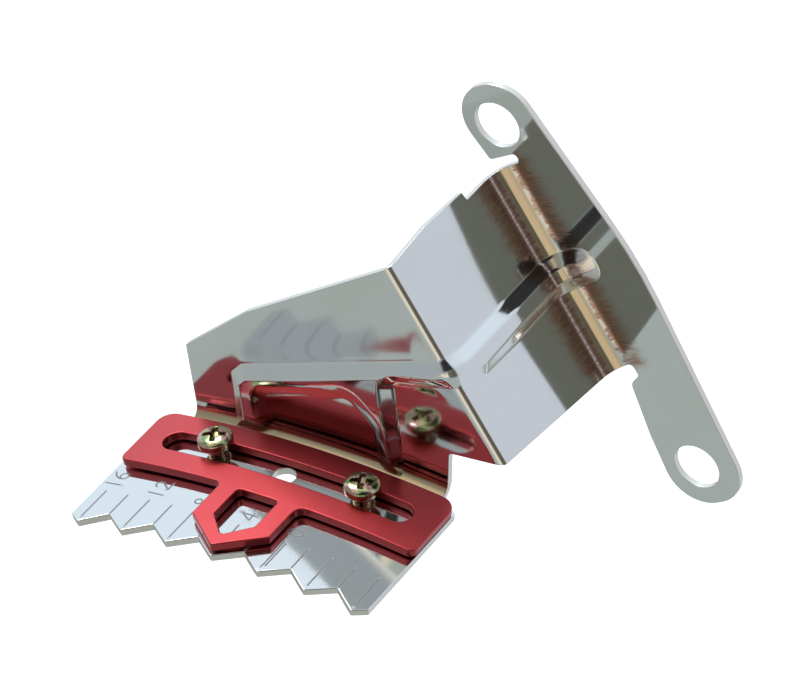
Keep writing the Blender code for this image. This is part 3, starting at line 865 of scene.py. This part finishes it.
def zinc_material():
    """Yellow passivated zinc: bands of straw, green and rose from the thin film, over small dents, with
    painted shade in the cross recess.
    """
    material, nodes = start_material("zinc_film")
    place = nodes.add("ShaderNodeTexCoord", None, None, 3)
    film = nodes.noise(place, 620, 2).rise(0.38, 0.60)
    zinc = tuple(finishes().zinc)
    colour = nodes.add("ShaderNodeValToRGB", {"stops": (
        (0.0, (0.32, 0.45, 0.22)), (0.35, zinc), (0.55, (0.66, 0.57, 0.32)), (0.75, (0.74, 0.46, 0.30)),
        (1.0, (0.56, 0.37, 0.35)))}, {"Fac": film})
    soil = nodes.noise(place, 1300, 3).rise(0.46, 0.7)
    colour = nodes.mix(soil * 0.4, colour, (0.27, 0.21, 0.10))
    # Painted shade: the screw's cross recess is drawn darker.
    sunk = nodes.attribute("recess")
    colour = nodes.mix(sunk * 0.7, colour, (0.18, 0.14, 0.06))
    grain = nodes.noise(place, 3000, 2)
    rough = soil * 0.16 + grain * 0.08 + sunk * 0.15 + 0.07
    height = grain * 0.4 + film
    bump = nodes.add("ShaderNodeBump", None, {"Strength": 0.2, "Distance": 0.00006, "Height": height})
    finish_material(nodes, {"Base Color": colour, "Roughness": rough, "Metallic": 1.0, "Normal": bump})
    return material


def material(name, make):
    """The material of that name, made the first time it is asked for."""
    return bpy.data.materials.get(name) or make()


# ---------------------------------------------------------------- operators

class TIMINGTAB_OT_bracket(bpy.types.Operator):
    """Fold the bracket from its blank, with the pressed rib and the engraved scale"""
    bl_idname = "timing_tab.bracket"
    bl_label = "Bracket"

    def execute(self, context):
        loops = [even(rounded(bracket_corners()), 0.55)]
        loops += [circle(on_plate(arc, HOLE_N), HOLE_R, 48) for arc in (*SCREW_A.values(), SPARE_HOLE_A)]
        loops += [circle(on_flange(*ear), EAR_HOLE_R, 72) for ear in (UPPER_EAR, LOWER_EAR)]
        marks = {"engraving": self.engraving, "along": self.along, "across": self.across, "foot": self.foot,
                 "shade": self.shade}
        piece = sheet_piece("bracket_plated", loops, self.seeds(), fold_bracket, SHEET,
                            sizes().sheet_edge / MM, material("bright_plating", plating_material),
                            self.groove, marks)
        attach(piece, "bracket")
        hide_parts("bracket")
        return {"FINISHED"}

    def seeds(self):
        """Blank points inside the outline: even rows on the flats, close rows round bends and on the rib."""
        bend = np.linspace(PLATE_BEND_R - bend_length(PLATE_BEND_R), PLATE_BEND_R, 9)
        forward = np.concatenate((bend, np.arange(3.2, 27, 0.9)))
        plate = grid(np.arange(-24.5, 24.6, 0.9), forward)
        web = grid(np.arange(WEB_LEFT, 32, 0.9), np.arange(1.6, 36, 0.9))
        web = web[edge_coordinates(web)[1] < -EDGE_BEND_R - 0.3]
        bend = np.linspace(-EDGE_BEND_R, WALL_START_Q, 11)
        crease = np.linspace(CREASE_START_Q, FLANGE_START_Q, 15)
        across = np.concatenate((bend, np.arange(WALL_START_Q + 0.9, CREASE_START_Q - 0.3, 0.9), crease))
        wall = grid(np.arange(0, 36.4, 0.8), across)
        flange = grid(np.arange(-11, 60, 0.9), FLANGE_START_Q + np.arange(-5, 12, 0.9))
        flange = flange[(flange[:, 1] > FLANGE_START_Q + 0.4) | (flange[:, 0] < 0.2) | (flange[:, 0] > 36.3)]
        coarse = np.concatenate((on_plate(*plate.T), web, EDGE_TOP + wall @ (EDGE_DIR, EDGE_OUT),
                                 EDGE_TOP + flange @ (EDGE_DIR, EDGE_OUT)))
        foot = RIB_WALL * np.array((0.13, 0.27))
        rows = (-3, -2.2, -1.5, -0.9, -0.4, 0, *foot, *(RIB_WALL - foot), RIB_WALL, 1.2, 2.8)
        rib = self.beside(RIB, rows)
        half = POCKET_WALL / 2
        rows = half - np.array((-0.3, 0, 0.4, 0.8))
        pocket = self.beside(POCKET, (*-rows, -0.4, 0.4, *rows))
        pocket = pocket[to_segments(pocket, rib, rib) > 0.15]
        pressed = np.concatenate((rib, pocket))
        clear = to_segments(coarse, pressed, pressed) > 0.35
        return np.concatenate((coarse[clear], pressed, stroke_seeds()))

    def beside(self, outline, distances):
        """Rows of points beside an outline: point + distance * inward normal, where that is still the
        nearest part of the outline."""
        outline = even(outline, 0.45)
        way = unit(np.roll(outline, -1, axis=0) - np.roll(outline, 1, axis=0))
        inward = np.stack((-way[:, 1], way[:, 0]), -1)
        rows = [(outline + distance * inward, distance) for distance in distances]
        return np.concatenate([row[abs(distance_inside(row, outline) - distance) < 0.04]
                               for row, distance in rows])

    def groove(self, points):
        """Depth of the engraving."""
        return sizes().engraving_depth / MM * ease(engraved(points) - 0.7)

    def engraving(self, points):
        """Share of a stroke's grey: full along its middle, and gone just past its edge."""
        return ease(engraved(points) * 1.6 - 0.8)

    def along(self, points):
        return edge_coordinates(points)[0]

    def across(self, points):
        return edge_coordinates(points)[1]

    def foot(self, points):
        """Bend between plate and web, where the plating's painted warm reflection lies: exp(-(distance from
        its middle / width)^4).
        """
        height = np.hypot(points[:, 0], points[:, 1] + DIAL_R) - DIAL_R
        middle = PLATE_BEND_R - bend_length(PLATE_BEND_R) / 2
        return np.exp(-((height - middle) / 0.85) ** 4) * (edge_coordinates(points)[1] < -3)

    def shade(self, points):
        """Painted shade low in the pocket, fading out over its wall and up its floor."""
        inwards = ease(distance_inside(points, POCKET) / 1.6 + 1)
        return inwards * ease((9.0 - points[:, 1]) / 3) * ease((points[:, 1] - 1.6) / 0.8)


class TIMINGTAB_OT_pointer(bpy.types.Operator):
    """Wrap the pointer, with its slot and window, round the scale"""
    bl_idname = "timing_tab.pointer"
    bl_label = "Pointer"

    def execute(self, context):
        loops = [even(rounded(self.flat(self.outline())), 0.6)]
        loops += [even(rounded(self.flat(hole)), 0.6)[::-1] for hole in (self.slot(), self.window())]
        seeds = grid(np.arange(-24.2, 25, 0.8), -np.arange(2.6, 26.4, 0.8))
        piece = sheet_piece("pointer_anodised", loops, seeds, wrap_pointer, POINTER_T,
                            sizes().pointer_edge / MM, material("red_anodising", red_material))
        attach(piece, "pointer")
        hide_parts("pointer")
        return {"FINISHED"}

    def flat(self, corners):
        return [((arc, -forward), radius) for (arc, forward), radius in corners]

    def outline(self):
        """A bar with a five-sided head, as (arc, forward) corners with their radii."""
        left, right = BAR_CENTRE - BAR_HALF, BAR_CENTRE + BAR_HALF
        return [((left, BAR_FRONT_N), 1.2), ((-HEAD_HALF, BAR_FRONT_N), 1.0),
                ((-HEAD_HALF, HEAD_SHOULDER_N), 0.5), ((0, HEAD_TIP_N), 0.6),
                ((HEAD_HALF, HEAD_SHOULDER_N), 0.5), ((HEAD_HALF, BAR_FRONT_N), 1.4),
                ((right, BAR_FRONT_N), 1.2), ((right, BAR_BACK_N), 2.4), ((left, BAR_BACK_N), 2.4)]

    def slot(self):
        left, right = BAR_CENTRE - SLOT_HALF, BAR_CENTRE + SLOT_HALF
        back, front = SLOT_N - SLOT_WIDTH / 2, SLOT_N + SLOT_WIDTH / 2
        end = SLOT_WIDTH / 2 - 0.01
        return [((left, back), end), ((left, front), end), ((right, front), end), ((right, back), end)]

    def window(self):
        return [((-WINDOW_HALF, WINDOW_BACK_N), 0.6), ((-WINDOW_HALF, WINDOW_SHOULDER_N), 0.6),
                ((0, WINDOW_TIP_N), 0.6), ((WINDOW_HALF, WINDOW_SHOULDER_N), 0.6),
                ((WINDOW_HALF, WINDOW_BACK_N), 0.6)]


class TIMINGTAB_OT_screws(bpy.types.Operator):
    """Turn the two pan-head screws, with their cross recesses and threads"""
    bl_idname = "timing_tab.screws"
    bl_label = "Screws"

    def execute(self, context):
        for side in SCREW_A:
            radius, height, recess = self.surface()
            piece = round_piece("screw_" + side + "_zinc", radius, height, side,
                                material("zinc_film", zinc_material), recess=recess)
            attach(piece, "screw_" + side)
            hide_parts("screw_" + side)
        return {"FINISHED"}

    def surface(self):
        """Radius and height over profile row and angle: an oval crown that a tapered cross sinks into, the
        rim, the underside, the thread, and a chamfered tail."""
        turn = np.linspace(0, 2 * np.pi, ROUND_STEPS, endpoint=False)
        ones = np.ones(ROUND_STEPS)
        swing = np.linspace(0.015, 1, 56) ** 0.9 * np.pi / 2
        crown_r = np.outer(HEAD_R * np.sin(swing), ones)
        crown_z = SEAT + HEAD_RIM + (HEAD_HEIGHT - HEAD_RIM) * np.outer(np.cos(swing) ** 0.8, ones)
        recess = self.recess(crown_r * np.cos(turn - RECESS_TURN), crown_r * np.sin(turn - RECESS_TURN))
        crown_z -= recess
        rim = np.array(((HEAD_R, SEAT + 0.6), (HEAD_R, SEAT + 0.3), (HEAD_R - 0.04, SEAT + 0.14),
                        (HEAD_R - 0.16, SEAT + 0.03), (HEAD_R - 0.3, SEAT), (1.9, SEAT), (1.52, SEAT),
                        (1.40, SEAT - 0.06), (SHANK_R, SEAT - 0.2)))
        tail = SEAT - SCREW_LENGTH
        screwed = np.arange(SEAT - 0.3, tail + 0.02, -THREAD / 14)
        spiral = thread_radius(turn, screwed[:, None])
        start = ease((SEAT - 0.4 - screwed) / 0.5)[:, None]
        end = ease((screwed - tail) / 0.45)[:, None]
        spiral = (SHANK_R + (spiral - SHANK_R) * start) * end + (CORE_R - 0.12) * (1 - end)
        last = np.array(((CORE_R - 0.2, tail), (0.6, tail)))
        radius = np.concatenate((crown_r, np.outer(rim[:, 0], ones), spiral, np.outer(last[:, 0], ones)))
        height = np.concatenate((crown_z, np.outer(rim[:, 1], ones), np.outer(screwed, ones),
                                 np.outer(last[:, 1], ones)))
        # The recess share becomes painted shade in the zinc's colour.
        return radius, height, ease(recess / 0.4)

    def recess(self, x, y):
        """Depth of the cross recess: two crossed wings whose walls lean in, narrower and shallower outwards,
        and a deeper cone in the middle."""
        def wing(along, over):
            along = abs(along)
            half = 0.46 - 0.07 * along
            walls = ease((half - abs(over)) / 0.16 + 0.5)
            ends = ease((1.72 - along) / 0.22)
            return (1.25 - 0.38 * along) * walls * ends

        return np.maximum(np.maximum(wing(x, y), wing(y, x)), 1.45 * ease((0.78 - np.hypot(x, y)) / 0.5))


class TIMINGTAB_OT_nuts(bpy.types.Operator):
    """Shape the two hexagon nuts under the plate, threaded and chamfered"""
    bl_idname = "timing_tab.nuts"
    bl_label = "Nuts"

    def execute(self, context):
        for side in SCREW_A:
            radius, height = self.surface()
            piece = round_piece("nut_" + side + "_zinc", radius, height, side,
                                material("zinc_film", zinc_material), closed=True)
            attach(piece, "nut_" + side)
            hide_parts("nut_" + side)
        return {"FINISHED"}

    def surface(self):
        """Radius and height over profile row and angle. The side is a hexagon, apothem / cos(angle from the
        middle of its flat), cut at both ends by a cone: height = end - (radius - face radius) tan 30."""
        turn = np.linspace(0, 2 * np.pi, ROUND_STEPS, endpoint=False)
        folded = (turn + np.pi / 6) % (np.pi / 3) - np.pi / 6
        hexagon = np.minimum(NUT_FLATS / 2 / np.cos(folded), NUT_FLATS / 2 * 1.135)
        face = NUT_FLATS / 2 * 0.955
        drop = (hexagon - face) * math.tan(math.radians(30))
        top, low = NUT_TOP, NUT_TOP - NUT_T
        ones = np.ones(ROUND_STEPS)
        bore = np.arange(low + 0.25, top - 0.24, THREAD / 14)
        thread = thread_radius(turn, bore[:, None]) + THREAD_GAP
        mouth = SCREW_R + THREAD_GAP + 0.06
        share = np.linspace(0, 1, 5)[1:-1, None]
        radius = [mouth * ones, 2.1 * ones, (face - 0.05) * ones, face * ones, hexagon - 0.03, hexagon]
        height = [top * ones, top * ones, top * ones, (top - 0.012) * ones, top - drop, top - drop - 0.05]
        radius += list(np.outer(np.ones(3), hexagon))
        height += list((top - drop - 0.05) * (1 - share) + (low + drop + 0.05) * share)
        radius += [hexagon, hexagon - 0.03, face * ones, (face - 0.05) * ones, 2.1 * ones, mouth * ones]
        height += [low + drop + 0.05, low + drop, (low + 0.012) * ones, low * ones, low * ones, low * ones]
        radius = np.array(radius)
        height = np.array(height)
        return np.concatenate((radius, thread)), np.concatenate((height, np.outer(bore, ones)))


class TIMINGTAB_OT_washers(bpy.types.Operator):
    """Coil the two split lock washers between the plate and the nuts"""
    bl_idname = "timing_tab.washers"
    bl_label = "Lock washers"

    def execute(self, context):
        for side in SCREW_A:
            points, faces = self.coil()
            piece = new_piece("lock_washer_" + side + "_zinc", clamp_place(points, side), faces,
                              material("zinc_film", zinc_material))
            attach(piece, "bracket")
            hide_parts("lock_washer_" + side)
        return {"FINISHED"}

    def coil(self):
        """Rounded square section, half (|cos|^p, |sin|^p) with p below one, carried once round the axis
        while it climbs evenly. Fans close its two ends."""
        stations, corners, squareness = 97, 24, 0.35
        turn = np.linspace(math.radians(4), math.radians(354), stations)[:, None]
        around = np.linspace(0, 2 * np.pi, corners, endpoint=False)
        width = 0.48 * np.sign(np.cos(around)) * abs(np.cos(around)) ** squareness
        rise = 0.30 * np.sign(np.sin(around)) * abs(np.sin(around)) ** squareness
        climb = 0.16 * (turn / np.pi - 1)
        radius = 2.21 + width
        middle = WASHER_TOP - WASHER_T / 2
        points = np.stack((radius * np.cos(turn), radius * np.sin(turn), middle + climb + rise), -1)
        ends = points[[0, -1]].mean(1)
        faces = wrap_faces(stations, corners, False)[:, ::-1].tolist()
        faces += end_fans(stations, corners)[:, ::-1].tolist()
        return np.concatenate((points.reshape(-1, 3), ends)), faces


class TIMINGTAB_OT_stage(bpy.types.Operator):
    """Set the floor, the surroundings, the soft light and the camera"""
    bl_idname = "timing_tab.stage"
    bl_label = "Stage"

    def execute(self, context):
        self.floor(context)
        self.surroundings(context)
        self.light(context)
        self.camera(context)
        context.scene.view_settings.view_transform = "Standard"
        return {"FINISHED"}

    def floor(self, context):
        """Wide flat floor under the part, almost white, and unseen from below and in the plating."""
        level = CAD_BOX[0][2] - context.scene.timing_tab_stage.floor_drop
        mesh = bpy.data.meshes.new("floor")
        corners = [(x * FLOOR_HALF, y * FLOOR_HALF, level) for x, y in ((-1, -1), (1, -1), (1, 1), (-1, 1))]
        mesh.from_pydata(corners, [], [(0, 1, 2, 3)])
        made, nodes = start_material("pale_floor")
        glow = nodes.add("ShaderNodeEmission", None, {"Color": (1, 1, 1), "Strength": 0.62})
        matt = nodes.add("ShaderNodeBsdfDiffuse", None, {"Color": (0.8, 0.8, 0.8)})
        lit = nodes.add("ShaderNodeAddShader", None, {0: glow, 1: matt})
        clear = nodes.add("ShaderNodeBsdfTransparent")
        below = nodes.add("ShaderNodeNewGeometry", None, None, 6)
        seen = nodes.add("ShaderNodeMixShader", None, {0: below, 1: lit, 2: clear})
        nodes.add("ShaderNodeOutputMaterial", None, {"Surface": seen})
        mesh.materials.append(made)
        floor = bpy.data.objects.new("floor", mesh)
        context.scene.collection.objects.link(floor)
        floor.visible_glossy = False
        floor.visible_diffuse = False

    def surroundings(self, context):
        """The room as the plating shows it, a colour for each direction: pale behind, grey low in front, a
        warm band at the front's eye level, then dark and brown bands towards the right."""
        world = bpy.data.worlds.new("studio")
        world.use_nodes = True
        world.node_tree.nodes.clear()
        nodes = Nodes(world.node_tree)
        way = nodes.add("ShaderNodeTexCoord", None, None, 0)
        x, y, z = self.split(nodes, way)
        low = (0.395, 0.44, 0.425)
        room = nodes.mix(z.rise(-0.45, 0.5), low, (0.36, 0.40, 0.43))
        room = nodes.mix(z.rise(0.77, 0.86), room, (0.86, 0.82, 0.74))
        room = nodes.mix(x.rise(-0.1, 0.25) * z.rise(0.3, 0.6), room, (0.03, 0.03, 0.03))
        # Bearing from straight ahead to the right, in radians.
        bearing = x.math("ARCTAN2", x, y * -1.0)
        level = 1 - abs(z + 0.04).rise(0.10, 0.34)
        warm = bearing.rise(-0.2, 0.1) * (1 - bearing.rise(0.72, 0.78))
        room = nodes.mix(warm * level, room, (0.80, 0.72, 0.58))
        dark = bearing.rise(0.74, 0.80) * (1 - abs(z - 0.05).rise(0.25, 0.5))
        room = nodes.mix(dark, room, (0.145, 0.152, 0.128))
        brown = bearing.rise(1.0, 1.12) * (1 - bearing.rise(1.48, 1.62)) * (1 - abs(z - 0.1).rise(0.2, 0.45))
        room = nodes.mix(brown * 0.6, room, (0.13, 0.065, 0.045))
        pale = nodes.mix((z - x).rise(-0.8, 1.0), (0.60, 0.64, 0.71), (0.78, 0.89, 0.99))
        over = z.math("MAXIMUM", z.rise(-0.42, -0.12), x.rise(-0.1, 0.2))
        room = nodes.mix(y.rise(-0.12, 0.2) * over, room, pale)
        camera_ray = nodes.add("ShaderNodeLightPath", None, None, 0)
        seen = nodes.mix(camera_ray, room, (1, 1, 1))
        back = nodes.add("ShaderNodeBackground", None, {"Color": seen, "Strength": 1.0})
        nodes.add("ShaderNodeOutputWorld", None, {"Surface": back})
        context.scene.world = world

    def split(self, nodes, vector):
        """The three components of a vector as values."""
        first = nodes.add("ShaderNodeSeparateXYZ", None, {0: vector}, 0)
        return [Value(nodes, output) for output in first.socket.node.outputs]

    def light(self, context):
        """One large soft light, high up at the part's left and a little behind it."""
        data = bpy.data.lights.new("key", "AREA")
        data.shape, data.size = "DISK", KEY_SIZE
        data.energy = context.scene.timing_tab_stage.key_power
        key = bpy.data.objects.new("key", data)
        key.location = KEY_PLACE
        key.rotation_mode = "QUATERNION"
        key.rotation_quaternion = key.location.to_track_quat("Z", "Y")
        context.scene.collection.objects.link(key)

    def camera(self, context):
        """Camera from its place and its own right and up directions."""
        data = bpy.data.cameras.new("camera")
        data.sensor_width, data.lens = 36, context.scene.timing_tab_stage.lens
        data.clip_start, data.clip_end = 0.05, 50
        camera = bpy.data.objects.new("camera", data)
        right = CAMERA_RIGHT.normalized()
        up = (CAMERA_UP - CAMERA_UP.dot(right) * right).normalized()
        turn = Matrix((right, up, right.cross(up))).transposed().to_4x4()
        camera.matrix_world = Matrix.Translation(CAMERA_PLACE) @ turn
        context.scene.collection.objects.link(camera)
        context.scene.camera = camera


class TIMINGTAB_PT_pieces(bpy.types.Panel):
    """Sidebar panel with the settings and one button for each piece"""
    bl_idname = "TIMINGTAB_PT_pieces"
    bl_label = "Timing Tab"
    bl_space_type = "VIEW_3D"
    bl_region_type = "UI"
    bl_category = "Timing Tab"

    def draw(self, context):
        scene = context.scene
        for group in (scene.timing_tab_sizes, scene.timing_tab_finishes, scene.timing_tab_stage):
            for name in group.__annotations__:
                self.layout.prop(group, name)
        for operator in OPERATORS:
            self.layout.operator(operator.bl_idname)


OPERATORS = (TIMINGTAB_OT_stage, TIMINGTAB_OT_bracket, TIMINGTAB_OT_pointer, TIMINGTAB_OT_screws,
             TIMINGTAB_OT_nuts, TIMINGTAB_OT_washers)
GROUPS = {"timing_tab_sizes": TimingTabSizes, "timing_tab_finishes": TimingTabFinishes,
          "timing_tab_stage": TimingTabStage}


def register():
    for cls in (*GROUPS.values(), *OPERATORS, TIMINGTAB_PT_pieces):
        bpy.utils.register_class(cls)
    for name, group in GROUPS.items():
        setattr(bpy.types.Scene, name, bpy.props.PointerProperty(type=group))


def unregister():
    for name in GROUPS:
        delattr(bpy.types.Scene, name)
    for cls in (TIMINGTAB_PT_pieces, *reversed(OPERATORS), *reversed(list(GROUPS.values()))):
        bpy.utils.unregister_class(cls)


def main():
    register()
    bpy.ops.timing_tab.stage()
    bpy.ops.timing_tab.bracket()
    bpy.ops.timing_tab.pointer()
    bpy.ops.timing_tab.screws()
    bpy.ops.timing_tab.nuts()
    bpy.ops.timing_tab.washers()


if __name__ == "__main__":
    main()
